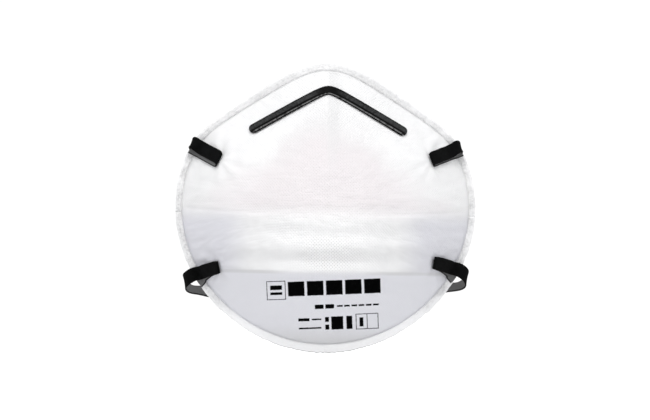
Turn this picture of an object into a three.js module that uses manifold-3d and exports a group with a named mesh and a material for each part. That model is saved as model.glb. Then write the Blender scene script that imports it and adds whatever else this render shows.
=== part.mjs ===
// A cup-shaped disposable dust mask, 132 mm wide and 126 mm high, standing upright as it is worn.
// Units are millimetres. +X is the viewer's right, +Z is up, and the front of the cup points to -Y.
// The pieces are drawn from the middle of the mask's outline, in the plane of the cheeks' rear face.
// The finished mask is then moved forward, so that its origin is the middle of its bounding box.

import * as THREE from 'three';
import { mergeVertices } from 'three/addons/utils/BufferGeometryUtils.js';
import Module from 'manifold-3d';

const wasm = await Module();
wasm.setup();

const rad = THREE.MathUtils.degToRad;

const cheekPlaneY = -22.5; // the cheeks' rear face, measured from the middle of the whole mask

// ---- driving dimensions: outline -------------------------------------------------------------
const chinRadius = 63.5; // outline radius under the chin
const cheekBulge = 2.3; // extra radius at the cheeks
const gableDistance = 58.7; // from the origin to each straight edge beside the nose
const gableAngle = rad(31.9); // lean of those edges' normals from straight up
const cornerSharpness = 24; // power of the smooth minimum that rounds the corners

// ---- driving dimensions: rim and cup ---------------------------------------------------------
const rimSideWidth = 3; // width of the rim over the nose and at the cheeks
const rimChinWidth = 4.1; // width of the rim under the chin
const rimChinSpread = rad(55);
const rimThickness = 1.3;
const noseRise = 22.6; // how far the rim curves forward over the nose
const noseSpread = rad(33);
const chinRise = 13.6; // how far the rim curves forward under the chin
const chinSpread = rad(45);
const cheekLand = 0.6; // depth shaved off the rear face, which leaves a flat land on each cheek
const domeHeight = 53; // from the cheek plane to the crown
const domeLean = 0.25; // slope at the crown, which tips the fullest part below the middle
const domeFullness = 2.3; // power of the dome's profile from crown to edge
const saddleFade = 2.6; // power with which the rim's saddle fades out towards the crown
const chinTuck = 3.5; // how far the cup is drawn in under its fold above the chin
const chinTuckZ = -38;
const chinTuckSpread = 9;

// ---- driving dimensions: layers, from outside to inside ---------------------------------------
const gap = 0.3; // clearance between neighbouring pieces
const coverThickness = 0.4;
const filterThickness = 0.5;
const supportThickness = 0.8;
const liningThickness = 0.4;
const aroundCount = 48; // facets around the cup
const ringCount = 6; // rings of facets from crown to edge

// ---- driving dimensions: nose clip and foam ---------------------------------------------------
const clipApexZ = 51.1; // height of the clip's bend
const clipSlope = Math.tan(rad(30.2)); // fall of each leg in front view
const clipBend = 2.7; // rounding of the bend
const clipReach = 34; // from the centreline to each rounded end
const clipWidth = 3.9;
const clipThickness = 1;
const glueThickness = 0.3;
const foamReach = 39;
const foamWidth = 11;
const foamThickness = 4.5;

// ---- driving dimensions: straps ---------------------------------------------------------------
const strapWidth = 6;
const strapThickness = 0.7;
const bondLength = 5;
const bondWidth = 4.6;
const splitHalfGap = 0.2; // half the clearance where each strap flexes
const shareOfLoop = 2.4; // power of the rounded-square curve of each rear loop

// Each strap is described on the right side and mirrored. fold is the x and z of its doubled inner end,
// and heading the rise of the plies towards the rim. The band then goes through wrapFront round the
// rim's edge, joint, where the elastic flexes, and wrapBack. loop is the free run round the head.
const upperStrap = {
  fold: { x: 46.5, z: 21.3 },
  heading: rad(28.7),
  underEnd: 57.3,
  topEnd: 51.5,
  wrapFront: [[57.8, -3.8, 27.5], [58.9, -1.9, 28], [58.95, 0.6, 28], [58.3, 4, 27.5]],
  joint: [57, 7.5, 26.6],
  wrapBack: [[54.4, 12, 25.3], [52.2, 18.5, 24.3]],
  loop: { halfWidth: 51, startY: 27, depth: 72, z: 23.8, droop: 6 },
};
const lowerStrap = {
  fold: { x: 47, z: -25 },
  heading: rad(-17),
  underEnd: 57.8,
  topEnd: 52.5,
  wrapFront: [[60.4, -4.4, -28.9], [62.6, -2.6, -30], [62.5, 0.6, -32.2], [60.3, 3.4, -34.6]],
  joint: [57, 6.2, -36.3],
  wrapBack: [[52.4, 9.8, -37.6], [48, 16.5, -37.6]],
  loop: { halfWidth: 46, startY: 27, depth: 65, z: -37, droop: 5 },
};

// ---- the mask's surface -----------------------------------------------------------------------

// Outline radius at an angle from straight up: a near circle cut by the two gable edges.
function outlineRadius(angle) {
  const edges = [chinRadius + cheekBulge * Math.sin(angle) ** 4];
  for (const side of [-1, 1]) {
    const facing = Math.cos(angle - side * gableAngle);
    if (facing > 0.2) edges.push(gableDistance / facing);
  }
  const total = edges.reduce((sum, edge) => sum + edge ** -cornerSharpness, 0);
  return total ** (-1 / cornerSharpness);
}

// Rear face of the rim: forward over the nose and under the chin, flat on the cheeks.
function rimBackY(angle) {
  const fromTop = Math.abs(angle);
  const nose = noseRise * Math.exp(-((fromTop / noseSpread) ** 2));
  const chin = chinRise * Math.exp(-(((Math.PI - fromTop) / chinSpread) ** 2));
  return Math.min(0, cheekLand - nose - chin);
}

function rimFrontY(angle) {
  return rimBackY(angle) - rimThickness;
}

// Width of the rim at an angle from straight up: widest under the chin.
function rimWidth(angle) {
  const fromChin = Math.PI - Math.abs(angle);
  const chinShare = Math.exp(-((fromChin / rimChinSpread) ** 2));
  return THREE.MathUtils.lerp(rimSideWidth, rimChinWidth, chinShare);
}

function cupRadius(angle) {
  return outlineRadius(angle) - rimWidth(angle) - gap;
}

// Share of the way from the crown to the cup's edge: round near the crown, the outline's shape at 1.
function edgeShare(x, z) {
  const distance = Math.hypot(x, z);
  const edge = cupRadius(Math.atan2(x, z));
  const round = chinRadius - rimChinWidth - gap;
  return distance / THREE.MathUtils.lerp(round, edge, (distance / edge) ** 2);
}

// Outer surface of the cup: a dome that meets the saddle of the rim at share 1, drawn in above the chin.
function cupY(x, z) {
  const share = edgeShare(x, z);
  const dome = (domeLean * z - domeHeight) * (1 - share ** domeFullness);
  const tuck = chinTuck * Math.exp(-(((z - chinTuckZ) / chinTuckSpread) ** 2)) * (1 - share ** 6);
  return dome + tuck + rimFrontY(Math.atan2(x, z)) * share ** saddleFade;
}

function cupNormal(x, z) {
  const step = 0.05;
  const slopeX = (cupY(x + step, z) - cupY(x - step, z)) / (2 * step);
  const slopeZ = (cupY(x, z + step) - cupY(x, z - step)) / (2 * step);
  return new THREE.Vector3(slopeX, -1, slopeZ).normalize();
}

// A point lifted off the cup's outer surface; a negative lift lies inside the cup.
function onCup(x, z, lift) {
  return new THREE.Vector3(x, cupY(x, z), z).addScaledVector(cupNormal(x, z), lift);
}

// ---- closed solids from rows of points --------------------------------------------------------

// Joins rings of equal point count into one closed solid. The ends close on a tip each, or onto
// each other when no tips are given. Each quad is split along its shorter diagonal, so that the
// facets of nested layers stay parallel.
function closedLoft(rings, tips) {
  const count = rings[0].length;
  const points = rings.flat();
  const positions = points.flatMap((point) => point.toArray());
  const index = [];
  const pairCount = tips ? rings.length - 1 : rings.length;
  for (let ring = 0; ring < pairCount; ring++) {
    const here = ring * count;
    const next = ((ring + 1) % rings.length) * count;
    for (let i = 0; i < count; i++) {
      const j = (i + 1) % count;
      const [a, b, c, d] = [here + i, next + i, next + j, here + j];
      if (points[a].distanceTo(points[c]) < points[b].distanceTo(points[d])) {
        index.push(a, b, c, a, c, d);
      } else {
        index.push(a, b, d, b, c, d);
      }
    }
  }
  if (tips) {
    const last = (rings.length - 1) * count;
    const firstTip = positions.length / 3;
    positions.push(...tips[0].toArray(), ...tips[1].toArray());
    for (let i = 0; i < count; i++) {
      const j = (i + 1) % count;
      index.push(firstTip, i, j);
      index.push(firstTip + 1, last + j, last + i);
    }
  }
  const geometry = new THREE.BufferGeometry();
  geometry.setAttribute('position', new THREE.Float32BufferAttribute(positions, 3));
  geometry.setIndex(index);
  return facingOut(geometry);
}

// Turns every triangle round if the solid is inside out.
function facingOut(geometry) {
  const position = geometry.getAttribute('position');
  const index = geometry.getIndex();
  const corners = [new THREE.Vector3(), new THREE.Vector3(), new THREE.Vector3()];
  let volume = 0;
  for (let i = 0; i < index.count; i += 3) {
    corners.forEach((corner, k) => corner.fromBufferAttribute(position, index.getX(i + k)));
    volume += corners[0].dot(corners[1].clone().cross(corners[2]));
  }
  if (volume < 0) index.array.reverse();
  geometry.computeVertexNormals();
  return geometry;
}

function middle(points) {
  const sum = points.reduce((total, point) => total.add(point), new THREE.Vector3());
  return sum.divideScalar(points.length);
}

// A closed solid whose sections are the given rings, capped flat at both ends.
function cappedLoft(rings) {
  return closedLoft(rings, [middle(rings[0]), middle(rings.at(-1))]);
}

// ---- layers and rim ---------------------------------------------------------------------------

function aroundAngles() {
  return Array.from({ length: aroundCount }, (_, i) => (i / aroundCount - 0.5) * 2 * Math.PI);
}

// One ring of a layer, share of the way from crown to edge, at a depth below the outer surface.
function layerRing(share, depth) {
  return aroundAngles().map((angle) => {
    const radius = share * cupRadius(angle);
    return onCup(radius * Math.sin(angle), radius * Math.cos(angle), -depth);
  });
}

function cupLayer(depth, thickness) {
  const outside = [];
  const inside = [];
  for (let ring = 1; ring <= ringCount; ring++) {
    outside.push(layerRing(ring / ringCount, depth));
    inside.unshift(layerRing(ring / ringCount, depth + thickness));
  }
  return closedLoft([...outside, ...inside], [onCup(0, 0, -depth), onCup(0, 0, -depth - thickness)]);
}

function rimSection(angle) {
  const outer = outlineRadius(angle);
  const corner = (radius, y) => new THREE.Vector3(radius * Math.sin(angle), y, radius * Math.cos(angle));
  const front = rimFrontY(angle);
  const back = rimBackY(angle);
  const inner = outer - rimWidth(angle);
  return [corner(outer, front), corner(outer, back), corner(inner, back), corner(inner, front)];
}

function weldedRim() {
  return closedLoft(aroundAngles().map(rimSection));
}

// ---- strips that follow the cup ---------------------------------------------------------------

// A strip between two lifts over the cup, along stations of { x, z, acrossX, acrossZ, halfWidth }.
function stripOnCup(stations, lowLift, highLift) {
  const columns = [-1, -0.5, 0, 0.5, 1];
  const rings = stations.map((station) => {
    const edge = (column, lift) => onCup(
      station.x + station.acrossX * station.halfWidth * column,
      station.z + station.acrossZ * station.halfWidth * column,
      lift,
    );
    const low = columns.map((column) => edge(column, lowLift));
    const high = columns.map((column) => edge(-column, highLift));
    return [...low, ...high];
  });
  return cappedLoft(rings);
}

function clipZ(x) {
  return clipApexZ - clipSlope * (Math.hypot(x, clipBend) - clipBend);
}

// Stations along the bent line of the nose clip, with ends rounded to endRadius.
function noseStations(reach, width, endRadius) {
  const endShares = [0.03, 0.3, 1];
  const legShares = [0.75, 0.5, 0.3, 0.15, 0.07, 0];
  const legEnd = reach - endRadius;
  const rightSide = [
    ...endShares.map((share) => reach - endRadius * share),
    ...legShares.map((share) => legEnd * share),
  ];
  const along = [...rightSide, ...rightSide.slice(0, -1).reverse().map((x) => -x)];
  return along.map((x) => {
    const slope = (clipZ(x + 0.1) - clipZ(x - 0.1)) / 0.2;
    const length = Math.hypot(1, slope);
    const past = Math.max(0, Math.abs(x) - legEnd);
    const halfWidth = width / 2 - endRadius + Math.sqrt(endRadius ** 2 - past ** 2);
    return { x, z: clipZ(x), acrossX: -slope / length, acrossZ: 1 / length, halfWidth };
  });
}

// ---- straps -----------------------------------------------------------------------------------

// A flat band along stations of { centre, across }, with square edges.
function ribbon(stations) {
  const rings = stations.map(({ centre, across }, i) => {
    const before = stations[Math.max(0, i - 1)].centre;
    const after = stations[Math.min(stations.length - 1, i + 1)].centre;
    const tangent = after.clone().sub(before).normalize();
    const thick = tangent.clone().cross(across).normalize();
    const wide = thick.clone().cross(tangent).multiplyScalar(strapWidth / 2);
    thick.multiplyScalar(strapThickness / 2);
    const corner = (u, v) => centre.clone().addScaledVector(wide, u).addScaledVector(thick, v);
    return [corner(1, 1), corner(-1, 1), corner(-1, -1), corner(1, -1)];
  });
  return cappedLoft(rings);
}

// The point of a strap's line at x, and the direction across the band where it lies on the cup.
function plyStation(strap, x, lift) {
  const z = strap.fold.z + (x - strap.fold.x) * Math.tan(strap.heading);
  const centre = onCup(x, z, lift);
  const along = new THREE.Vector3(Math.cos(strap.heading), 0, Math.sin(strap.heading));
  return { centre, across: cupNormal(x, z).cross(along).normalize() };
}

// The doubled end: under ply from the rim inwards, the fold, and the top ply back outwards.
function doubledEnd(strap) {
  const underLift = gap + glueThickness + gap + strapThickness / 2;
  const topLift = underLift + strapThickness + gap;
  const foldX = strap.fold.x;
  const across = frontAcross(strap);
  const rimAngle = Math.atan2(strap.underEnd, strapZ(strap, strap.underEnd));
  const rimY = rimFrontY(rimAngle) - gap - glueThickness - strapThickness / 2;
  const outerEnd = new THREE.Vector3(strap.underEnd, rimY, strapZ(strap, strap.underEnd));
  return [
    { centre: outerEnd, across },
    ...[5.2, 3, 1].map((inset) => plyStation(strap, foldX + inset, underLift)),
    plyStation(strap, foldX + 0.15, (3 * underLift + topLift) / 4),
    plyStation(strap, foldX + 0.15, (underLift + 3 * topLift) / 4),
    ...[1, 3].map((inset) => plyStation(strap, foldX + inset, topLift)),
    plyStation(strap, strap.topEnd, topLift),
  ];
}

function strapZ(strap, x) {
  return strap.fold.z + (x - strap.fold.x) * Math.tan(strap.heading);
}

function frontAcross(strap) {
  return new THREE.Vector3(-Math.sin(strap.heading), 0, Math.cos(strap.heading));
}

// Key stations of the free run on the right side, from the rim's edge to the middle at the back.
function runKeys(strap) {
  const { halfWidth, startY, depth, z, droop } = strap.loop;
  const keys = [...strap.wrapFront, strap.joint, ...strap.wrapBack];
  const quarterSteps = 7;
  for (let step = 0; step <= quarterSteps; step++) {
    const turn = (step / quarterSteps) * (Math.PI / 2);
    keys.push([
      halfWidth * Math.max(0, Math.cos(turn)) ** (2 / shareOfLoop),
      startY + depth * Math.sin(turn) ** (2 / shareOfLoop),
      z - droop * Math.sin(turn) ** 2,
    ]);
  }
  const upright = new THREE.Vector3(0, 0, 1);
  const turnEnd = strap.wrapFront.length;
  return keys.map((key, i) => ({
    centre: new THREE.Vector3(...key),
    across: frontAcross(strap).lerp(upright, Math.min(1, Math.max(0, (i - 1) / turnEnd))),
  }));
}

// Smooth stations through key stations, several to each span.
function smoothStations(keys, perSpan) {
  const centres = new THREE.CatmullRomCurve3(keys.map((key) => key.centre));
  const acrosses = new THREE.CatmullRomCurve3(keys.map((key) => key.across));
  const count = (keys.length - 1) * perSpan;
  return Array.from({ length: count + 1 }, (_, i) => ({
    centre: centres.getPoint(i / count),
    across: acrosses.getPoint(i / count),
  }));
}

// The right half of a whole strap past its doubled end, and the place of the joint in that list.
function strapHalf(strap) {
  const perSpan = 2;
  const stations = smoothStations(runKeys(strap), perSpan);
  return { stations, jointIndex: strap.wrapFront.length * perSpan };
}

// The part of a strap that stays on the mask: doubled end, way round the rim, up to the joint.
function strapEnd(strap) {
  const { stations, jointIndex } = strapHalf(strap);
  const band = solidOf(ribbon([...doubledEnd(strap), ...stations.slice(0, jointIndex + 2)]));
  const reach = strap.joint[0] + splitHalfGap;
  const behindRim = 2;
  const cutter = boxSolid([0, behindRim, -100], [reach, 100, 100]);
  return geometryOf(band.subtract(cutter));
}

// The part of a strap that swings: from joint to joint round the back of the head.
function strapRun(strap) {
  const { stations, jointIndex } = strapHalf(strap);
  const right = stations.slice(jointIndex - 1);
  const mirror = new THREE.Vector3(-1, 1, 1);
  const left = right.slice(0, -1).reverse().map(({ centre, across }) => ({
    centre: centre.clone().multiply(mirror),
    across: across.clone().multiply(mirror),
  }));
  const reach = strap.joint[0] - splitHalfGap;
  const keeper = boxSolid([-reach, -100, -100], [reach, 200, 100]);
  return geometryOf(solidOf(ribbon([...right, ...left])).intersect(keeper));
}

// The glue pad that holds the under ply to the cup.
function strapBond(strap) {
  const across = frontAcross(strap);
  const inset = 1.6;
  const stations = [0, 0.5, 1].map((share) => {
    const x = strap.fold.x + inset + share * bondLength * Math.cos(strap.heading);
    return { x, z: strapZ(strap, x), acrossX: across.x, acrossZ: across.z, halfWidth: bondWidth / 2 };
  });
  return stripOnCup(stations, gap, gap + glueThickness);
}

// ---- cutting ----------------------------------------------------------------------------------

function solidOf(geometry) {
  const bare = new THREE.BufferGeometry();
  bare.setAttribute('position', geometry.getAttribute('position'));
  bare.setIndex(geometry.getIndex());
  const merged = mergeVertices(bare, 1e-4);
  return new wasm.Manifold(new wasm.Mesh({
    numProp: 3,
    vertProperties: merged.getAttribute('position').array,
    triVerts: new Uint32Array(merged.getIndex().array),
  }));
}

function boxSolid(low, high) {
  const size = high.map((value, i) => value - low[i]);
  const box = new THREE.BoxGeometry(...size);
  box.translate(...low.map((value, i) => value + size[i] / 2));
  return solidOf(box);
}

function geometryOf(solid) {
  const mesh = solid.getMesh();
  const geometry = new THREE.BufferGeometry();
  geometry.setAttribute('position', new THREE.BufferAttribute(mesh.vertProperties, 3));
  geometry.setIndex(new THREE.BufferAttribute(mesh.triVerts, 1));
  geometry.computeVertexNormals();
  return geometry;
}

// ---- materials --------------------------------------------------------------------------------

function finish(color, roughness, metalness = 0) {
  return new THREE.MeshStandardMaterial({ color, roughness, metalness });
}

const finishes = {
  cover: finish(0xf3f3f3, 0.9),
  filter: finish(0xf7f7f5, 0.95),
  support: finish(0xeceae6, 0.9),
  lining: finish(0xf6f6f6, 0.9),
  rim: finish(0xe9e9ea, 0.8),
  clip: finish(0x2e2e30, 0.45, 0.3),
  glue: finish(0xd8d2bd, 0.5),
  foam: finish(0x4a4b4d, 0.95),
  elastic: finish(0x17171a, 0.85),
};

// ---- assembly ---------------------------------------------------------------------------------

function piece(name, geometry, material) {
  const mesh = new THREE.Mesh(geometry, material);
  mesh.name = name;
  return mesh;
}

function cupPieces() {
  const group = new THREE.Group();
  const layers = [
    ['outer_cover', coverThickness, finishes.cover],
    ['filter_layer', filterThickness, finishes.filter],
    ['support_shell', supportThickness, finishes.support],
    ['inner_lining', liningThickness, finishes.lining],
  ];
  let depth = 0;
  for (const [name, thickness, material] of layers) {
    group.add(piece(name, cupLayer(depth, thickness), material));
    depth += thickness + gap;
  }
  group.add(piece('welded_rim', weldedRim(), finishes.rim));
  return group;
}

function nosePieces() {
  const group = new THREE.Group();
  const cupThickness = coverThickness + filterThickness + supportThickness + liningThickness + 3 * gap;
  const clipStations = noseStations(clipReach, clipWidth, clipWidth / 2 - 0.1);
  const clipGlueStations = noseStations(clipReach - 1, clipWidth - 1.2, 0.8);
  const foamStations = noseStations(foamReach, foamWidth, 3);
  const foamGlueStations = noseStations(foamReach - 1, foamWidth - 2, 1.5);
  const clipLift = gap + glueThickness + gap;
  const foamLift = -(cupThickness + clipLift);
  const clip = stripOnCup(clipStations, clipLift, clipLift + clipThickness);
  const foam = stripOnCup(foamStations, foamLift, foamLift - foamThickness);
  const clipGlue = stripOnCup(clipGlueStations, gap, gap + glueThickness);
  const foamGlue = stripOnCup(foamGlueStations, foamLift + gap, foamLift + gap + glueThickness);
  group.add(piece('nose_clip', clip, finishes.clip));
  group.add(piece('nose_clip_adhesive', clipGlue, finishes.glue));
  group.add(piece('nose_foam', foam, finishes.foam));
  group.add(piece('nose_foam_adhesive', foamGlue, finishes.glue));
  return group;
}

// One strap: a swinging run, and on each side a fixed end with its glue pad.
function strapPieces(level, strap) {
  const group = new THREE.Group();
  group.add(piece(`${level}_strap`, strapRun(strap), finishes.elastic));
  const end = strapEnd(strap);
  const bond = strapBond(strap);
  for (const [side, mirror] of [['left', -1], ['right', 1]]) {
    const pair = new THREE.Group();
    pair.scale.x = mirror;
    pair.add(piece(`strap_end_${level}_${side}`, end, finishes.elastic));
    pair.add(piece(`strap_bond_${level}_${side}`, bond, finishes.glue));
    group.add(pair);
  }
  return group;
}

const mask = new THREE.Group();
mask.add(cupPieces());
mask.add(nosePieces());
mask.add(strapPieces('upper', upperStrap));
mask.add(strapPieces('lower', lowerStrap));
mask.position.y = cheekPlaneY;

export default mask;
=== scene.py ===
"""The looks of a cup-shaped disposable dust mask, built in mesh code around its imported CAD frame.

Shapes are drawn in millimetres from the middle of the mask's outline, in the plane of the cheeks'
rear face: x to the viewer's right, y to the rear, z up. metres() carries them into the frame.
"""

import functools
import math

import bpy
import numpy as np
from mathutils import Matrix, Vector

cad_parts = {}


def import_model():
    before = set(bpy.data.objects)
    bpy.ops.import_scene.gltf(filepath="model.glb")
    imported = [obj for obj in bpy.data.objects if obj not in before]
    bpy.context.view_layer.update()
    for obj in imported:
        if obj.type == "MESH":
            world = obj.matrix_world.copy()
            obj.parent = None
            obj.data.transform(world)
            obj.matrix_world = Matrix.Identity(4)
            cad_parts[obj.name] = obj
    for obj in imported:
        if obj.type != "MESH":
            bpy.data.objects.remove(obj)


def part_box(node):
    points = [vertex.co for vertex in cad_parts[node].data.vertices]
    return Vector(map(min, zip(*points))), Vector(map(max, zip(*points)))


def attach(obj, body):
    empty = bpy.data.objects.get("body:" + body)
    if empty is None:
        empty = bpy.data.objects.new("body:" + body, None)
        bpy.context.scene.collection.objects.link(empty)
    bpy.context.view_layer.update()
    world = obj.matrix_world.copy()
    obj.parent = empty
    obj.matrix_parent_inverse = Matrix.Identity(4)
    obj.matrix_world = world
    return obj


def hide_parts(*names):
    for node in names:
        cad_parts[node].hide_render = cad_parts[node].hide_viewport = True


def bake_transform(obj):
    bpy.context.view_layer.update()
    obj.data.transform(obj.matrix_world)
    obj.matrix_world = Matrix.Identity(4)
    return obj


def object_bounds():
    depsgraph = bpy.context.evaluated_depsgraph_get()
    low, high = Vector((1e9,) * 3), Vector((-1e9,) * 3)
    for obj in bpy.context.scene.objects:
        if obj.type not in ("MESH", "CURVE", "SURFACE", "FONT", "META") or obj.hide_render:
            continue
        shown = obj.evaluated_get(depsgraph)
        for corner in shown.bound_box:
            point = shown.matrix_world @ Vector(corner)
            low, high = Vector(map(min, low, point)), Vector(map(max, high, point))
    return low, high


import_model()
cad_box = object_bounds()

# ---- driving dimensions, in mm
CHIN_RADIUS = 63.5  # the outline: a near circle cut by two gable edges beside the nose
CHEEK_BULGE = 2.3
GABLE_DISTANCE = 58.7
GABLE_ANGLE = math.radians(31.9)
CORNER_SHARPNESS = 24
RIM_SIDE_WIDTH = 3.0
RIM_CHIN_WIDTH = 4.1
RIM_CHIN_SPREAD = math.radians(55)
RIM_PEAK = 1.1  # the welded edge is left a little wider over the nose and its gables
RIM_PEAK_ANGLE = -0.05
RIM_PEAK_SPREAD = math.radians(42)
RIM_EDGE_THICKNESS = 0.7  # inside its shoulder and before it is pinched at the cut
DIMPLE_DEPTH = 0.3
DIMPLE_PITCH_RUN = 1.15
DIMPLE_PITCH_ACROSS = 0.85
RIM_THICKNESS = 1.3
NOSE_RISE = 22.6  # how far the rim curves forward over the nose
NOSE_SPREAD = math.radians(33)
CHIN_RISE = 13.6
CHIN_SPREAD = math.radians(45)
CHEEK_LAND = 0.6
DOME_HEIGHT = 53.0
DOME_LEAN = 0.25
DOME_FULLNESS = 2.3
SADDLE_FADE = 2.6
CHIN_TUCK = 3.5
CHIN_TUCK_Z = -38.0
CHIN_TUCK_SPREAD = 9.0
EDGE_GAP = 0.3
# Layers from outside to inside: depth of the outer face, thickness.
COVER = (0.0, 0.4)
FILTER = (0.7, 0.5)
SUPPORT = (1.5, 0.8)
LINING = (2.6, 0.4)
PRESSED_THICKNESS = 0.12  # of a layer in the rim's grip
GRIP_DEPTH = 0.35

# Relief of the moulded fabric.
RIDGE_HEIGHT = 1.0
RIDGE_X = 0.3
WAVE_PITCH = 11.7
WAVE_CREST_Z = -5.5
WAVE_HEIGHT = 0.4
BROW_HEIGHT = 1.1
CHIN_FOLD_Z = -28.6
MID_CREASE_Z = -3.2

CLIP_APEX_Z = 51.1
CLIP_SLOPE = math.tan(math.radians(30.2))
CLIP_BEND = 2.7
CLIP_REACH = 34.0
CLIP_WIDTH = 3.9
CLIP_SHIFT = 0.6
FOAM_REACH = 39.0
FOAM_WIDTH = 11.0
FOAM_THICKNESS = 4.5

STRAP_WIDTH = 6.0
STRAP_THICKNESS = 0.7
WALE_PITCH = 0.62
COURSE_PITCH = 0.42
UNDER_PLY_LIFT = 0.9  # middles of the two plies above the cup
TOP_PLY_LIFT = 1.75
LOOP_POWER = 2.4

# Straps. Each end is in right-side coordinates: the x and z of its fold, the heading of the top ply
# there, its bend along the run, the turn and offset of the under ply against it, the run of the under
# ply, and the way round the rim's edge. lean tips the band to the rear on that way, back leads on to
# the loop, and bend_from_to holds two y for the band's turn about its joint, which nothing here reads.
UPPER_STRAP = {
    "right": {
        "fold": (45.1, 21.6), "heading": math.radians(22.5), "bend": 0.0,
        "turn": 0.0, "offset": 0.7, "under": 15.0,
        "wrap": [(57.5, -4.5, 27.8), (58.6, -2.9, 28.3), (59.1, -1.3, 27.7), (58.8, 1.2, 26.5),
                 (57.4, 5, 25.6)],
    },
    "left": {
        "fold": (45.6, 20.5), "heading": math.radians(27), "bend": 0.0,
        "turn": 0.0, "offset": 1.5, "under": 15.0,
        "wrap": [(57.7, -4.5, 27.3), (58.9, -2.9, 28.0), (59.3, -1.3, 27.4), (59.0, 1.2, 26.3),
                 (57.4, 5, 25.5)],
    },
    "lean": (0.55, 0.55, 0.55, 0.35, 0.15),
    "back": [(56.2, 8, 25.4), (54.4, 12, 25.0), (52.2, 18.5, 24.3)],
    "bend_from_to": (0, 15), "pucker": 0.24, "seed": 81,
    "loop": {"half_width": 51, "start": 27, "depth": 72, "z": 23.8, "droop": 6},
}
LOWER_STRAP = {
    "right": {
        "fold": (47.0, -22.7), "heading": math.radians(-8), "bend": math.radians(-17),
        "turn": math.radians(-25), "offset": 0.0, "under": 13.5,
        "wrap": [(58.2, -5.4, -25.8), (60.8, -3.5, -27.1), (62.4, -1.2, -28.8), (62.6, 0.9, -30.4),
                 (61.6, 2.9, -32.1), (59.4, 4.6, -33.3), (56.6, 6.2, -33.9), (53, 8.8, -34.2)],
    },
    "left": {
        "fold": (45.3, -26.2), "heading": math.radians(-9), "bend": math.radians(-21),
        "turn": math.radians(-22), "offset": 0.0, "under": 13.5,
        "wrap": [(57.0, -5.4, -29.9), (59.3, -3.5, -31.3), (60.9, -1.2, -32.6), (61.1, 0.9, -34.0),
                 (60.2, 2.9, -35.6), (58.2, 4.6, -36.7), (55.4, 6.2, -37.2), (52, 8.8, -37.5)],
    },
    "lean": (0.15, 0.2, 0.3, 0.45, 0.65, 0.8, 0.82, 0.7),
    "back": [(48, 16.5, -37.0)],
    "bend_from_to": (1, 27), "pucker": 0.2, "seed": 91,
    "loop": {"half_width": 46, "start": 27, "depth": 65, "z": -37, "droop": 5},
}
STRAPS = {"upper": UPPER_STRAP, "lower": LOWER_STRAP}

MM = 0.001
rim_low, rim_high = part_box("welded_rim")
ORIGIN = np.array([0.0, rim_high.y, rim_low.z + CHIN_RADIUS * MM])


def metres(points):
    return np.asarray(points, float) * MM + ORIGIN


def smooth(value, low, high):
    share = np.clip((value - low) / (high - low), 0, 1)
    return share * share * (3 - 2 * share)


def bump_at(value, centre, spread):
    return np.exp(-(((value - centre) / spread) ** 2))


def xyz(x, y, z):
    return np.stack([x, y, z], axis=-1)


def unit(vectors):
    return vectors / np.linalg.norm(vectors, axis=-1, keepdims=True)


def run_along(points):
    """Distance run along a line of points, from 0 at the first of them."""
    return np.concatenate([[0], np.cumsum(np.linalg.norm(np.diff(points, axis=0), axis=1))])


# ---- seeded irregularity


def lattice_noise(u, v, seed):
    """Smooth random values from -1 to 1 over a plane, about one hill to a unit."""
    size = 64
    table = np.random.RandomState(seed).uniform(-1, 1, (size, size))
    turn = 0.6 + seed
    u, v = u * math.cos(turn) - v * math.sin(turn), u * math.sin(turn) + v * math.cos(turn)
    iu, iv = np.floor(u).astype(int), np.floor(v).astype(int)
    fu, fv = u - iu, v - iv
    fu, fv = (f * f * f * (f * (f * 6 - 15) + 10) for f in (fu, fv))

    def corner(du, dv):
        return table[(iu + du) % size, (iv + dv) % size]

    low = corner(0, 0) * (1 - fu) + corner(1, 0) * fu
    high = corner(0, 1) * (1 - fu) + corner(1, 1) * fu
    return low * (1 - fv) + high * fv


def layered_noise(u, v, seed, octaves=3):
    total = 0
    for octave in range(octaves):
        total = total + lattice_noise(u * 2**octave, v * 2**octave, seed + octave) / 2**octave
    return total


def cell_distance(points, size, seed):
    """Distance from each point to the nearest of one random centre per cube, in cube sides."""
    scaled = points / size
    base = np.floor(scaled).astype(np.int64)
    nearest = np.full(len(points), 9.0)
    for shift in np.ndindex(3, 3, 3):
        cell = base + np.array(shift) - 1
        mixed = (cell * np.array([73856093, 19349663, 83492791])).sum(axis=1) + seed * 2654435761
        jitter = []
        for _ in range(3):
            mixed = (mixed ^ (mixed >> 13)) * 1274126177 % 4294967296
            jitter.append((mixed % 65536) / 65536)
        centre = cell + np.stack(jitter, axis=1)
        nearest = np.minimum(nearest, np.linalg.norm(scaled - centre, axis=1))
    return nearest


# ---- the mask's surface


def outline_radius(angle):
    """Outline radius at an angle from straight up."""
    total = (CHIN_RADIUS + CHEEK_BULGE * np.sin(angle) ** 4) ** -CORNER_SHARPNESS
    for side in (-1, 1):
        facing = np.cos(angle - side * GABLE_ANGLE)
        gable = GABLE_DISTANCE / np.maximum(facing, 0.2)
        total = total + np.where(facing > 0.2, gable**-CORNER_SHARPNESS, 0)
    return total ** (-1 / CORNER_SHARPNESS)


def rim_back(angle):
    """The y of the rim's rear face: flat at the cheeks, forward at nose and chin."""
    from_top = np.abs(angle)
    nose = NOSE_RISE * np.exp(-((from_top / NOSE_SPREAD) ** 2))
    chin = CHIN_RISE * np.exp(-(((np.pi - from_top) / CHIN_SPREAD) ** 2))
    return np.minimum(0, CHEEK_LAND - nose - chin)


def rim_front(angle):
    return rim_back(angle) - RIM_THICKNESS


def rim_width(angle):
    from_chin = np.pi - np.abs(angle)
    chin_share = np.exp(-((from_chin / RIM_CHIN_SPREAD) ** 2))
    return RIM_SIDE_WIDTH + (RIM_CHIN_WIDTH - RIM_SIDE_WIDTH) * chin_share


def cup_radius(angle):
    return outline_radius(angle) - rim_width(angle) - EDGE_GAP


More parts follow.
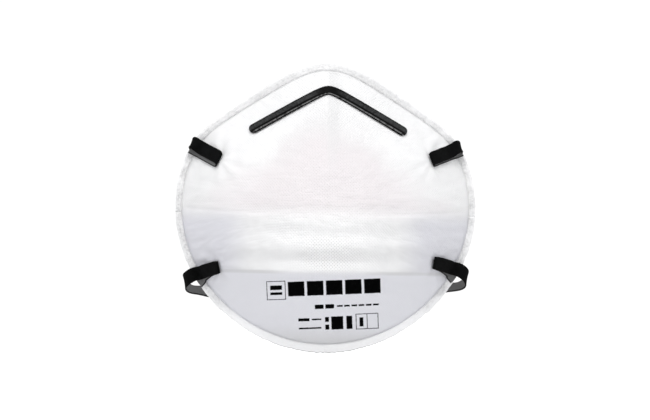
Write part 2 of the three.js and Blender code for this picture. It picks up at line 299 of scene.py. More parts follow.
def edge_share(x, z):
    """0 at the middle of the cup and 1 at its edge, in nearly round steps."""
    distance = np.hypot(x, z)
    edge = cup_radius(np.arctan2(x, z))
    near_circle = CHIN_RADIUS - RIM_CHIN_WIDTH - EDGE_GAP
    blend = (distance / edge) ** 2
    return distance / (near_circle + (edge - near_circle) * blend)


def cup_y(x, z):
    """The smooth cup: a full dome, tucked in above the chin, meeting the rim's curve."""
    share = edge_share(x, z)
    dome = (DOME_LEAN * z - DOME_HEIGHT) * (1 - share**DOME_FULLNESS)
    tuck = CHIN_TUCK * bump_at(z, CHIN_TUCK_Z, CHIN_TUCK_SPREAD) * (1 - share**6)
    return dome + tuck + rim_front(np.arctan2(x, z)) * share**SADDLE_FADE


def cup_normal(x, z):
    step = 0.05
    slope_x = (cup_y(x + step, z) - cup_y(x - step, z)) / (2 * step)
    slope_z = (cup_y(x, z + step) - cup_y(x, z - step)) / (2 * step)
    return unit(xyz(slope_x, -np.ones_like(slope_x), slope_z))


def on_cup(x, z, lift):
    """Points lifted off the smooth cup; a negative lift is inside it."""
    x, z = np.asarray(x, float), np.asarray(z, float)
    base = xyz(x, cup_y(x, z), z)
    return base + cup_normal(x, z) * np.asarray(lift, float)[..., None]


def clip_z(x):
    """Height of the bent clip's middle line."""
    return CLIP_APEX_Z - CLIP_SLOPE * (np.hypot(x, CLIP_BEND) - CLIP_BEND)


def waves(x, z):
    """Soft horizontal waves across the lower half, ending in a brow with a fold above the chin."""
    aside = np.abs(x)
    bowed = z - 0.0006 * x**2
    swell = np.cos(2 * np.pi * (bowed - WAVE_CREST_Z) / WAVE_PITCH)
    window = smooth(bowed, -31, -27) * (1 - smooth(bowed, -3, 3)) * (1 - smooth(aside, 28, 52))
    brow = bump_at(bowed, CHIN_FOLD_Z - 0.2, 4.2) * (1 - smooth(aside, 30, 50))
    fold = bump_at(bowed, CHIN_FOLD_Z, 1.1) * (1 - smooth(aside, 40, 50))
    mid_crease = bump_at(bowed, MID_CREASE_Z, 0.8) * smooth(aside, 12, 40)
    return WAVE_HEIGHT * swell * window + BROW_HEIGHT * brow - 0.35 * fold - 0.25 * mid_crease


def puckers(x, z):
    """Small folds that fan out from the four strap ends, where the weld gathers the fabric."""
    total = 0
    for strap in STRAPS.values():
        right_x, right_z = strap["right"]["fold"]
        left_x, left_z = strap["left"]["fold"]
        dx = np.where(x > 0, right_x, left_x) + 1 - np.abs(x)
        dz = z - np.where(x > 0, right_z, left_z)
        ray = np.arctan2(dz, dx)
        reach = bump_at(np.hypot(dx, dz), 7.5, 5.5)
        total = total + strap["pucker"] * np.cos(7.5 * ray + 0.8 * np.sign(x)) * reach
    return total


def wrinkles(x, z):
    """Fine creases: level ones across the front, slanting ones low on both cheeks."""
    front = smooth(z, -30, -26) * (1 - smooth(z, 12, 34)) * (1 - smooth(np.abs(x), 36, 50))
    level = np.clip(np.abs(lattice_noise(x / 8, z / 2.1, 17)), 0, 0.35)
    slanted = z + 0.28 * (np.abs(x) - 30)
    cheek = smooth(np.abs(x), 16, 30) * smooth(z, -30, -24) * (1 - smooth(z, -9, -3))
    creased = np.clip(np.abs(lattice_noise(x / 7, slanted / 1.35, 29)), 0, 0.3)
    return 0.3 * level * front * (1 - cheek) + 0.42 * creased * cheek


def relief(x, z):
    """Lift of the moulded fabric off the smooth cup: ridge, waves, puckers, creases and unevenness."""
    share = edge_share(x, z)
    ridge_spread = 3.2 + 0.11 * np.maximum(0, 48 - z)
    ridge = RIDGE_HEIGHT * np.exp(-((np.abs(x - RIDGE_X) / ridge_spread) ** 1.5))
    ridge = ridge * smooth(z, 4, 26) * (1 - smooth(z, 50, 57))
    lumps = 0.2 * layered_noise(x / 13, z / 6, 3) + 0.07 * layered_noise(x / 3.4, z / 2.6, 11)
    angle = np.arctan2(x, z)
    gathers = 0.2 * lattice_noise(angle * 24, share * 2, 21) * smooth(share, 0.86, 0.97)
    total = ridge + lumps + waves(x, z) + puckers(x, z) + wrinkles(x, z) + gathers
    near_clip = bump_at(z - clip_z(x), 0, 4.0) * (1 - smooth(np.abs(x), CLIP_REACH, CLIP_REACH + 4))
    return total * (1 - 0.75 * near_clip) * (1 - smooth(share, 0.985, 1))


# ---- meshes


def new_object(name, data):
    made = bpy.data.objects.new(name, data)
    bpy.context.scene.collection.objects.link(made)
    return made


def mesh_object(name, points, faces, pattern=None):
    """A smooth-shaded object from design points. pattern holds three numbers a point for its material."""
    mesh = bpy.data.meshes.new(name)
    mesh.from_pydata(metres(points).tolist(), [], faces)
    mesh.polygons.foreach_set("use_smooth", [True] * len(mesh.polygons))
    if pattern is not None:
        layer = mesh.attributes.new("pattern", "FLOAT_VECTOR", "POINT")
        layer.data.foreach_set("vector", np.asarray(pattern, np.float32).ravel())
    mesh.update()
    return new_object(name, mesh)


def loft(name, rings, pattern=None, capped=True):
    """A closed mesh through rings of equal count: capped at both ends, or joined end to end."""
    rings = np.asarray(rings)
    ring_count, count = rings.shape[:2]
    points = rings.reshape(-1, 3)
    here = np.arange(count)
    after = (here + 1) % count
    faces = []
    for ring in range(ring_count - 1 if capped else ring_count):
        low, high = ring * count, (ring + 1) % ring_count * count
        faces.append(np.stack([low + here, low + after, high + after, high + here], axis=1))
    faces = np.concatenate(faces).tolist()
    if capped:
        tips = np.stack([rings[0].mean(axis=0), rings[-1].mean(axis=0)])
        first, last = len(points), (ring_count - 1) * count
        faces += [(first, int(b), int(a)) for a, b in zip(here, after)]
        faces += [(first + 1, int(last + a), int(last + b)) for a, b in zip(here, after)]
        points = np.concatenate([points, tips])
        if pattern is not None:
            flat = np.asarray(pattern, float).reshape(-1, 3)
            ends = np.stack([flat[:count].mean(axis=0), flat[-count:].mean(axis=0)])
            pattern = np.concatenate([flat, ends])
    return outward(mesh_object(name, points, faces, pattern))


def outward(made):
    """Turns the faces round if the closed mesh is inside out."""
    mesh = made.data
    corners = np.empty(len(mesh.vertices) * 3)
    mesh.vertices.foreach_get("co", corners)
    corners = corners.reshape(-1, 3)
    mesh.calc_loop_triangles()
    triangles = np.empty(len(mesh.loop_triangles) * 3, int)
    mesh.loop_triangles.foreach_get("vertices", triangles)
    a, b, c = corners[triangles.reshape(-1, 3)].transpose(1, 0, 2)
    if np.einsum("ij,ij->i", a, np.cross(b, c)).sum() < 0:
        mesh.flip_normals()
    return made


# ---- the layers of the cup


def layer_rings(shares, angles, depth):
    """Rings of one face of a layer. Towards the rim the layers draw together, as they are pressed."""
    share, angle = np.meshgrid(shares, angles, indexing="ij")
    radius = share * cup_radius(angle)
    x, z = radius * np.sin(angle), radius * np.cos(angle)
    pressed = depth * (1 - 0.6 * smooth(share, 0.9, 1))
    return on_cup(x, z, relief(x, z) - pressed)


def ring_at(angles, radius, y):
    return xyz(radius * np.sin(angles), y, radius * np.cos(angles))


def arc_pattern(rings):
    """Fabric coordinates of polar rings: distance run from the crown, laid out flat."""
    steps = np.linalg.norm(np.diff(rings, axis=0, prepend=rings[:1] * 0 + rings[:1].mean(axis=1)), axis=2)
    run = np.cumsum(steps, axis=0)
    angle = np.arctan2(rings[..., 0], rings[..., 2])
    return xyz(run * np.sin(angle), run * np.cos(angle), np.zeros_like(run))


def cup_layer(name, node, slot, layer, counts, edge_y):
    """One fabric layer from its outer and inner faces, ending in a flange gripped by the rim."""
    depth, thickness = layer
    around, across = counts
    angles = (np.arange(around) / around - 0.5) * 2 * np.pi
    shares = np.linspace(0, 1, across + 1)[1:]
    grip = cup_radius(angles) + EDGE_GAP + GRIP_DEPTH
    corner = cup_radius(angles) - 0.25 * depth + 0.1

    def face(depth, y):
        flange = [ring_at(angles, radius, rim_front(angles) + y) for radius in (corner, grip)]
        return np.concatenate([layer_rings(shares, angles, depth), flange])

    outside = face(depth, edge_y)
    inside = face(depth + thickness, edge_y + PRESSED_THICKNESS)
    rings = np.concatenate([outside, inside[::-1]])
    pattern = np.concatenate([arc_pattern(outside), arc_pattern(inside)[::-1]])
    dress(loft(name, rings, pattern), slot, [node])


def dress(made, slot, nodes, body="mask"):
    """Gives a piece the material of its slot and its body, and hides the CAD nodes that it stands for."""
    made.data.materials.append(MATERIALS[slot])
    if body:
        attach(made, body)
    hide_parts(*nodes)


# ---- the welded rim


def knurl(run, across, seed):
    """Staggered weld dimples of uneven depth, in mm."""
    row = np.round(across / DIMPLE_PITCH_ACROSS)
    shifted = run / DIMPLE_PITCH_RUN + 0.5 * (row % 2)
    column = np.round(shifted)
    dx = (shifted - column) * DIMPLE_PITCH_RUN
    dz = across - row * DIMPLE_PITCH_ACROSS
    table = np.random.RandomState(seed).uniform(0.1, 1, (512, 16))
    depth = table[column.astype(int) % 512, row.astype(int) % 16] ** 1.5
    return depth * np.exp(-((dx / 0.34) ** 2) - (dz / 0.27) ** 2)


def rim_section(angles):
    """Rings round the rim's section: (points, pattern), the section running front, edge, back."""
    peak = RIM_PEAK * bump_at(angles, RIM_PEAK_ANGLE, RIM_PEAK_SPREAD)
    radius = outline_radius(angles) + peak
    width = rim_width(angles) + peak
    run = np.cumsum(np.full(len(angles), 2 * np.pi * CHIN_RADIUS / len(angles)))
    still = 0 * run
    ragged = 0.16 * lattice_noise(angles * 30, still, 5) + 0.07 * lattice_noise(angles * 110, still, 6)
    height = np.cos(angles) * radius
    front_depth = DIMPLE_DEPTH - 0.2 * smooth(-height, 30, 50)
    tick = bump_at(height, MID_CREASE_Z + 0.4, 0.35) * smooth(np.abs(np.sin(angles)), 0.7, 0.8)
    rings, pattern = [], []

    def add(w, height_above, side):
        r = radius - width + w + ragged * smooth(w, 0.3 * width, width)
        rings.append(ring_at(angles, r, rim_back(angles) - height_above))
        pattern.append(xyz(run, w, np.full_like(run, side)))

    def dimples(w, shift, seed):
        return knurl(run + shift, w, seed) * smooth(w, 0.5, 0.8) * smooth(width - w, 0.2, 0.5)

    inner_steps = [still + step for step in (-0.3, 0.0, 0.12, 0.24, 0.4, 0.6)]
    middle_steps = [0.6 + share * (width - 1.0) for share in np.linspace(0, 1, 17)[1:]]
    outer_steps = [width - step for step in (0.25, 0.1)]
    for w in inner_steps + middle_steps + outer_steps:
        shoulder = smooth(w, 0.1, 0.8)
        pinched = 0.4 * (1 - smooth(width - w, 0, 0.7))
        lumps = 0.11 * layered_noise(run / 3.1, w / 2, 31)
        pressed = front_depth * dimples(w, 0, 41) + 0.5 * tick
        raised = RIM_THICKNESS - RIM_EDGE_THICKNESS + lumps - pressed
        add(w, RIM_EDGE_THICKNESS - pinched + raised * shoulder, 1)
    edge = 0.05 * lattice_noise(run / 0.9, still, 51)
    for past, height_above in ((0, 0.72), (0.03, 0.5), (0, 0.28)):
        add(width + past, height_above + edge, 0)
    for share in np.linspace(0.97, 0.02, 15):
        w = share * width
        pinched = 0.2 * (1 - smooth(width - w, 0, 0.7))
        add(w, pinched + 0.12 * dimples(w, 0.4, 43) + 0.04 * layered_noise(run / 3.7, w / 2, 35), -1)
    add(still - 0.3, still, -1)
    return np.stack(rings, axis=1), np.stack(pattern, axis=1)


def welded_rim():
    angles = (np.arange(1800) / 1800 - 0.5) * 2 * np.pi
    rings, pattern = rim_section(angles)
    made = loft("welded_rim_embossed", rings, pattern.reshape(-1, 3), capped=False)
    dress(made, "rim", ["welded_rim"])


# ---- strips that follow the cup: clip, foam, glue


def pad(name, line, half_length, half_width, end_radius, base, profile, counts, rough=None):
    """A strip with rounded ends on the cup. line(s) gives x, z and the unit direction across; profile
    gives the lift of its outer face from the distance to its edge and the position across."""
    along_count, across_count = counts
    s = np.linspace(-1, 1, along_count)
    s = half_length * np.sign(s) * (1 - (1 - np.abs(s)) ** 1.35)
    past = np.maximum(0, np.abs(s) - (half_length - end_radius))
    reach = half_width - end_radius + np.sqrt(np.maximum(end_radius**2 - past**2, 1e-4))
    t = np.sin(np.linspace(-np.pi / 2, np.pi / 2, across_count))
    x0, z0, ax, az = line(s)
    c = reach[:, None] * t[None, :]
    x, z = x0[:, None] + ax[:, None] * c, z0[:, None] + az[:, None] * c
    side = np.maximum(0, np.abs(c) - (half_width - end_radius))
    to_edge = np.where(
        past[:, None] > 0,
        end_radius - np.hypot(past[:, None], side),
        half_width - np.abs(c),
    )
    to_edge = np.maximum(to_edge, 0)
    run = s[:, None] + c * 0
    top = profile(to_edge, c, run)
    direction = 1 if np.mean(top) > base else -1
    outer = on_cup(x, z, top)
    if rough is not None:
        outer = outer + cup_normal(x, z) * (direction * rough(outer))[..., None]
    under = on_cup(x, z, np.full_like(x, base))
    sections = np.concatenate([outer, under[:, ::-1]], axis=1)
    place = xyz(run, c, c * 0 + 1)
    place_under = xyz(run, c[:, ::-1], c * 0 - 1)
    return loft(name, sections, np.concatenate([place, place_under], axis=1))


def nose_line(s):
    """The bent line of the nose clip by its x."""
    slope = (clip_z(s + 0.05) - clip_z(s - 0.05)) / 0.1
    length = np.hypot(1, slope)
    return s, clip_z(s), -slope / length, 1 / length


def clip_line(s):
    """The clip itself sits slightly off the middle, as it was glued on."""
    x, z, across_x, across_z = nose_line(s)
    return x + CLIP_SHIFT, z, across_x, across_z


def rounded(to_edge, radius):
    """Height share of a rounded edge, from 0 at the edge to 1 a radius inside it."""
    inside = np.clip(to_edge / radius, 0, 1)
    return np.sqrt(1 - (1 - inside) ** 2)


def nose_pieces():
    """Clip and foam, each on its film of glue. Lifts are in mm off the smooth cup."""
    clip_base, clip_top = 0.55, 1.55
    foam_base = -3.15

    def clip_profile(to_edge, *_):
        height = 0.4 * rounded(to_edge, 0.2) + 0.6 * smooth(to_edge, 0.25, 0.8)
        return clip_base + (clip_top - clip_base) * height

    def foam_profile(to_edge, c, s):
        fullness = 0.85 + 0.15 * lattice_noise(s / 7, c / 7, 61)
        return foam_base - FOAM_THICKNESS * (0.25 + 0.75 * rounded(to_edge, 2.2) * fullness)

    def foam_pits(points):
        flat = points.reshape(-1, 3)
        coarse = cell_distance(flat, 1.15, 71)
        fine = cell_distance(flat, 0.55, 73)
        pits = -0.42 * np.clip(0.62 - coarse, 0, 1) - 0.16 * np.clip(0.5 - fine, 0, 1)
        return pits.reshape(points.shape[:2])

    def film(low, high, radius):
        return lambda to_edge, *_: low + (high - low) * rounded(to_edge, radius)

    clip = pad("nose_clip_coated", clip_line, CLIP_REACH, CLIP_WIDTH / 2, CLIP_WIDTH / 2 - 0.1, clip_base,
               clip_profile, (420, 41))
    dress(clip, "clip", ["nose_clip"])
    glue = pad("clip_glue_film", clip_line, CLIP_REACH - 0.8, CLIP_WIDTH / 2 - 0.5, 1.3, 0.05,
               film(0.05, 0.52, 0.4), (160, 9))
    dress(glue, "glue", ["nose_clip_adhesive"])
    foam = pad("nose_foam_open_cell", nose_line, FOAM_REACH, FOAM_WIDTH / 2, 3.0, foam_base,
               foam_profile, (420, 64), foam_pits)
    dress(foam, "foam", ["nose_foam"])
    foam_glue = pad("foam_glue_film", nose_line, FOAM_REACH - 1, FOAM_WIDTH / 2 - 1, 1.5, -2.9,
                    film(-2.95, -3.2, 0.3), (160, 9))
    dress(foam_glue, "glue", ["nose_foam_adhesive"])


# ---- straps


def spline(rows, step):
    """A centripetal Catmull-Rom curve through rows that start with x, y, z, sampled every step mm."""
    rows = np.asarray(rows, float)
    rows = np.vstack([2 * rows[0] - rows[1], rows, 2 * rows[-1] - rows[-2]])
    knots = np.concatenate([[0], np.cumsum(np.linalg.norm(np.diff(rows[:, :3], axis=0), axis=1) ** 0.5)])
    samples = []
    for i in range(1, len(rows) - 2):
        span = np.linalg.norm(rows[i + 1, :3] - rows[i, :3])
        count = max(2, math.ceil(span / step))
        t = np.linspace(knots[i], knots[i + 1], count, endpoint=False)[:, None]
        k = knots[i - 1 : i + 3]
        p = rows[i - 1 : i + 3]

        def between(a, b, ka, kb):
            return (kb - t) / (kb - ka) * a + (t - ka) / (kb - ka) * b

        a1, a2, a3 = (between(p[j], p[j + 1], k[j], k[j + 1]) for j in range(3))
        b1, b2 = between(a1, a2, k[0], k[2]), between(a2, a3, k[1], k[3])
        samples.append(between(b1, b2, k[1], k[2]))
    return np.vstack(samples + [rows[-2:-1]])


def ply_row(end, run, offset, turn, lift, keep=0.0):
    """A row of the band on the cup or the rim, at a run outwards from the fold seen from the front.
    keep is 1 where the band's direction across stays as given although its middle shifts sideways."""
    steps = np.linspace(0, run, 24)
    headings = end["heading"] + (end["bend"] + turn) * smooth(steps, -2, 12)
    across = np.array([-math.sin(headings[-1]), 0, math.cos(headings[-1])])
    x = end["fold"][0] + run * np.cos(headings).mean() - offset * across[0]
    z = end["fold"][1] + run * np.sin(headings).mean() - offset * across[2]
    angle = math.atan2(x, z)
    if math.hypot(x, z) < cup_radius(angle) - 0.4:
        along = np.array([math.cos(headings[-1]), 0, math.sin(headings[-1])])
        lean = unit(np.cross(cup_normal(np.float64(x), np.float64(z)), along))
        return [*on_cup(x, z, lift), *lean, keep]
    return [x, float(rim_front(angle)) - lift, z, *across, keep]


def strap_half(strap, side):
    """Rows of one half of a strap: under ply, fold, top ply, way round the rim, half the loop."""
    end = strap[side]
    under, top = UNDER_PLY_LIFT, TOP_PLY_LIFT
    middle, radius = (under + top) / 2, (top - under) / 2
    offset, turn, reach = end["offset"], end["turn"], end["under"]
    rows = [ply_row(end, run, offset, turn, lift) for run, lift in (
        (reach, 0.5), (reach - 2.2, 0.55), (reach - 5, 0.8), (6, under), (3.6, under), (1.8, under))]
    for step in np.linspace(0, np.pi, 7):
        share = step / np.pi
        run = radius * (1 - math.sin(step))
        lift = middle - radius * math.cos(step)
        rows.append(ply_row(end, run, offset * (1 - share), turn * (1 - share), lift, 1.0))
    rows += [ply_row(end, run, 0, 0, top) for run in (1.8, 3.6, 6, 8.4)]
    heading = end["heading"] + end["bend"]
    front = np.array([-math.sin(heading), 0, math.cos(heading)])
    upright = np.array([0, 0, 1])
    rear = np.array([0, 1, 0])
    loop = strap["loop"]
    keys = end["wrap"] + strap["back"] + [(
        loop["half_width"] * max(0, math.cos(t)) ** (2 / LOOP_POWER),
        loop["start"] + loop["depth"] * math.sin(t) ** (2 / LOOP_POWER),
        loop["z"] - loop["droop"] * math.sin(t) ** 2,
    ) for t in np.linspace(0, np.pi / 2, 9)]
    for i, key in enumerate(keys):
        share = min(1, max(0, (i - 1) / 3))
        lean = strap["lean"][i] if i < len(strap["lean"]) else 0
        across = unit(front * (1 - share) + upright * share)
        rows.append([*key, *(across * math.sqrt(1 - lean**2) + rear * lean), 0.0])
    return rows


def trimmed(points):
    """Draws points beyond the rim's outline back to it, as the weld cuts the under ply's end."""
    x, z = points[..., 0], points[..., 2]
    radius = np.hypot(x, z)
    soft = 0.3
    limit = outline_radius(np.arctan2(x, z)) - soft
    past = np.maximum(0, radius - limit)
    scale = np.where(past > 0, (limit + soft * (1 - np.exp(-past / soft))) / radius, 1)
    return xyz(x * scale, points[..., 1], z * scale)


def eased(rows, start):
    """Evens out rows of a strap, beyond a run of start mm from either end."""
    window = np.hanning(15)[1:-1]
    window /= window.sum()
    reach = len(window) // 2
    padded = np.pad(rows, ((reach, reach), (0, 0)), mode="edge")
    even = np.stack([np.convolve(column, window, "valid") for column in padded.T], axis=1)
    run = run_along(rows[:, :3])
    share = smooth(np.minimum(run, run[-1] - run), start, start + 5)[:, None]
    return rows * (1 - share) + even * share


def band_directions(centre, given, keep):
    """Unit directions across the band and out of its face, from given ones."""
    given = unit(given)
    tangent = unit(np.gradient(centre, axis=0))
    slant = (given * tangent).sum(axis=1, keepdims=True)
    across = unit(given - tangent * slant * (1 - np.clip(keep, 0, 1)))
    return across, unit(np.cross(across, tangent))


def band_section():
    """Round the knitted section: place across, side (1 outer, -1 inner), offset across and out."""
    half_width, half_thick = STRAP_WIDTH / 2, STRAP_THICKNESS / 2
    u = np.concatenate([np.linspace(-1, 1, 40), [1.0], np.linspace(1, -1, 40), [-1.0]])
    side = np.concatenate([np.ones(40), [0], -np.ones(40), [0]])
    wales = 0.5 + 0.5 * np.cos(u * half_width * 2 * np.pi / WALE_PITCH)
    to_edge = smooth(np.abs(u), 0.93, 1.0)
    selvage = smooth(np.abs(u), 0.8, 0.9) * (1 - to_edge)
    thick = side * half_thick * (0.72 + 0.14 * wales + 0.16 * selvage - 0.3 * to_edge)
    wide = u * (half_width - 0.12 * smooth(np.abs(u), 0.97, 1.0) * np.abs(side))
    return u * half_width, side, wide, thick


def strap_band(level, strap):
    """A whole strap as one knitted band."""
    body, seed = f"{level}_strap", strap["seed"]
    step = 0.45
    right, left = (spline(strap_half(strap, side), step) for side in ("right", "left"))
    mirror = np.array([-1, 1, 1, -1, 1, 1, 1])
    rows = np.vstack([left * mirror, right[::-1][1:]])
    rows[:, :6] = eased(rows[:, :6], strap["left"]["under"] + 3)
    centre = rows[:, :3]
    across, facing = band_directions(centre, rows[:, 3:6], rows[:, 6:])
    run = run_along(centre)
    sway = 0.35 * smooth(centre[:, 1], 10, 40) * lattice_noise(run / 19, run * 0, seed)
    centre = centre + across * sway[:, None]
    swell = 1 + 0.02 * lattice_noise(run / 4, run * 0, seed + 1)
    flat, side, wide, thick = band_section()
    rings = (centre[:, None] + across[:, None] * (wide * swell[:, None])[..., None]
             + facing[:, None] * thick[:, None])
    end_rows = math.ceil(strap["left"]["under"] / step)
    for part in (slice(None, end_rows), slice(-end_rows, None)):
        rings[part] = trimmed(rings[part])
    pattern = xyz(*np.broadcast_arrays(run[:, None], flat, side))
    made = loft(f"{body}_band", rings, pattern)
    ends = [f"strap_end_{level}_{side}" for side in ("left", "right")]
    dress(made, "elastic", [body, *ends], body=None)
    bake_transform(made)


def strap_bond(level, side, end):
    """The spot of glue under one strap end."""
    sign = {"left": -1, "right": 1}[side]
    heading = end["heading"] + (end["bend"] + end["turn"]) * 0.3
    cos, sin = math.cos(heading), math.sin(heading)
    mid_x = end["fold"][0] + 4 * cos + end["offset"] * sin
    mid_z = end["fold"][1] + 4 * sin - end["offset"] * cos

    def line(s):
        one = np.ones_like(s)
        return sign * (mid_x + s * cos), mid_z + s * sin, -sign * sin * one, cos * one

    bond = pad(f"strap_glue_{level}_{side}", line, 2.4, 2.2, 1.2, 0.0,
               lambda to_edge, *_: 0.5 * rounded(to_edge, 0.6) + 0.02, (24, 15))
    dress(bond, "glue", [f"strap_bond_{level}_{side}"])


# ---- materials

BOND_SIZE = 0.14
BLUSH_MIDDLE = (0.825, 0.785, 0.797, 1)
BLUSH_SIDE = (0.91, 0.87, 0.885, 1)
# Bluish greys of painted shade: low on the cheeks, and on the chin below the fold.
CHEEK_SHADE_BLUE = (0.79, 0.79, 0.838, 1)
CHIN_SHADE_BLUE = (0.865, 0.868, 0.915, 1)


class Material:
    """Short forms for building one material's nodes. An input is a socket, a number or a tuple."""

    def __init__(self, name, **settings):
        self.material = bpy.data.materials.new(name)
        self.material.use_nodes = True
        self.tree = self.material.node_tree
        self.surface = self.tree.nodes["Principled BSDF"]
        self.set(**settings)

    def set(self, **settings):
        for key, value in settings.items():
            self.feed(self.surface.inputs[key.replace("_", " ")], value)

    def feed(self, socket, value):
        if isinstance(value, bpy.types.NodeSocket):
            self.tree.links.new(value, socket)
        else:
            socket.default_value = value

    def node(self, kind, inputs, output=0, **settings):
        made = self.tree.nodes.new("ShaderNode" + kind)
        for key, value in settings.items():
            setattr(made, key, value)
        for key, value in inputs.items():
            self.feed(made.inputs[key], value)
        return made.outputs[output]

    def math(self, operation, *values):
        return self.node("Math", dict(enumerate(values)), operation=operation)

    def times(self, *values):
        return functools.reduce(lambda a, b: self.math("MULTIPLY", a, b), values)

    def plus(self, *values):
        return functools.reduce(lambda a, b: self.math("ADD", a, b), values)

    def minus(self, first, second):
        return self.math("SUBTRACT", first, second)

    def size(self, value):
        return self.math("ABSOLUTE", value)

    def vector(self, operation, *values, output=0):
        return self.node("VectorMath", dict(enumerate(values)), output=output, operation=operation)

    def parts(self, vector):
        return [self.node("SeparateXYZ", {0: vector}, output=k) for k in range(3)]

    def join(self, x, y, z=0.0):
        return self.node("CombineXYZ", {0: x, 1: y, 2: z})

    def place(self):
        """Object coordinates in design millimetres."""
        spot = self.node("TexCoord", {}, output=3)
        moved = self.vector("SUBTRACT", spot, tuple(ORIGIN))
        return self.vector("MULTIPLY", moved, (1 / MM,) * 3)

    def pattern(self):
        return self.node("Attribute", {}, output=1, attribute_name="pattern")

    def noise(self, vector, scale, detail=2.0, roughness=0.5, distortion=0.0):
        return self.node("TexNoise", {"Vector": vector, "Scale": scale, "Detail": detail,
                                      "Roughness": roughness, "Distortion": distortion})

    def ramp(self, value, low, high, to_low=0.0, to_high=1.0):
        return self.node("MapRange", {0: value, 1: low, 2: high, 3: to_low, 4: to_high},
                         interpolation_type="SMOOTHSTEP")

    def fade(self, value, low, high, share=1.0):
        return self.ramp(value, low, high, share, 0.0)

    def mix(self, share, first, second):
        return self.node("Mix", {0: share, 6: first, 7: second}, output=2, data_type="RGBA")

    def coats(self, tone, *coats):
        """Lays coats over a tone, one after another. A coat is its share and its colour."""
        for share, colour in coats:
            tone = self.mix(share, tone, colour)
        return tone

    def bump(self, height, distance, strength=1.0):
        return self.node("Bump", {"Height": height, "Distance": distance, "Strength": strength})


def grey(value, warm=0.0):
    """A near-neutral colour; warm shifts it from blue towards red."""
    return (value * (1 + warm), value, value * (1 - warm), 1.0)


def bond_dots(mat, spot, pitch):
    """A diamond lattice of small bond points: 1 in a point's middle, 0 between points."""
    x, y, _ = mat.parts(spot)
    legs = []
    for leg in (mat.plus(x, y), mat.minus(x, y)):
        cell = mat.math("FRACT", mat.math("DIVIDE", leg, pitch * math.sqrt(2)))
        legs.append(mat.size(mat.minus(cell, 0.5)))
    return mat.fade(mat.math("MAXIMUM", *legs), BOND_SIZE, BOND_SIZE + 0.16)


def fibres(mat, spot):
    """Height of matted fibres: short streaks in several directions."""
    x, y, _ = mat.parts(spot)
    streaks = []
    for turn in (0.3, 1.4, 2.5):
        cos, sin = math.cos(turn), math.sin(turn)
        along = mat.plus(mat.times(x, cos), mat.times(y, sin))
        beside = mat.minus(mat.times(y, cos), mat.times(x, sin))
        drawn_out = mat.join(mat.times(along, 0.55), mat.times(beside, 4.2), turn)
        streaks.append(mat.noise(drawn_out, 1.0, 3.0, 0.6, 0.8))
    return mat.math("DIVIDE", mat.plus(*streaks), 3.0)


# The printed panel on the chin stands in for lettering: plain bars and boxes, in mm from its own
# middle. A row is x, z, width, height.
PRINT_Z = -40.0
PRINT_TILT = math.radians(3.2)
PRINT_LINE = 0.16
HEADLINE_BLOCKS = 5
HEADLINE_WIDTH = 7.2
HEADLINE_PITCH = 8.3
SIGN_X = -20.6
SOLID_BOXES = (
    [(-11.8 + HEADLINE_PITCH * k, 5.2, HEADLINE_WIDTH, 6.4) for k in range(HEADLINE_BLOCKS)]
    + [(-2.1 + 4.6 * k, -3.0, 3.8, 1.9) for k in range(2)]
    + [(6.9 + 3.15 * k, -3.0, 2.5, 0.8) for k in range(6)]
    + [(-9.0, -8.5, 4.9, 1.3), (-3.5, -8.5, 4.2, 0.7), (-6.4, -12.3, 9.8, 0.7)]
    + [(1.1, -8.7, 1.7, 2.2), (1.1, -12.1, 1.7, 2.2), (5.5, -10.4, 5.2, 5.8), (10.8, -10.4, 2.6, 5.8)]
    + [(16.1, -10.4, 1.7, 4.0), (SIGN_X, 6.0, 5.2, 2.0), (SIGN_X, 3.4, 5.2, 1.2)]
)
OUTLINED_BOXES = [(SIGN_X, 4.8, 8.0, 8.0), (16.2, -10.2, 4.8, 6.6), (21.0, -10.2, 4.8, 6.6)]


def box_distance(mat, spot, box):
    """Distance outside a box; inside it is negative."""
    x, z, width, height = box
    shifted = mat.vector("ABSOLUTE", mat.vector("SUBTRACT", spot, (x, z, 0)))
    legs = mat.parts(mat.vector("SUBTRACT", shifted, (width / 2, height / 2, 0)))
    return mat.math("MAXIMUM", legs[0], legs[1])


def ink(mat):
    """1 where the panel is printed, with slightly feathered edges."""
    x, _, height = mat.parts(mat.place())
    z = mat.minus(height, PRINT_Z)
    cos, sin = math.cos(PRINT_TILT), math.sin(PRINT_TILT)
    u = mat.plus(mat.times(x, cos), mat.times(z, sin))
    v = mat.minus(mat.times(z, cos), mat.times(x, sin))
    spot = mat.join(u, v)
    nearest = 9.0
    for box in SOLID_BOXES:
        nearest = mat.math("MINIMUM", nearest, box_distance(mat, spot, box))
    for box in OUTLINED_BOXES:
        line = mat.size(box_distance(mat, spot, box))
        nearest = mat.math("MINIMUM", nearest, mat.minus(line, PRINT_LINE))
    feather = mat.ramp(mat.noise(mat.place(), 3.2, 2.0), 0.3, 0.7, -0.09, 0.09)
    return mat.fade(mat.plus(nearest, feather), -0.08, 0.08)


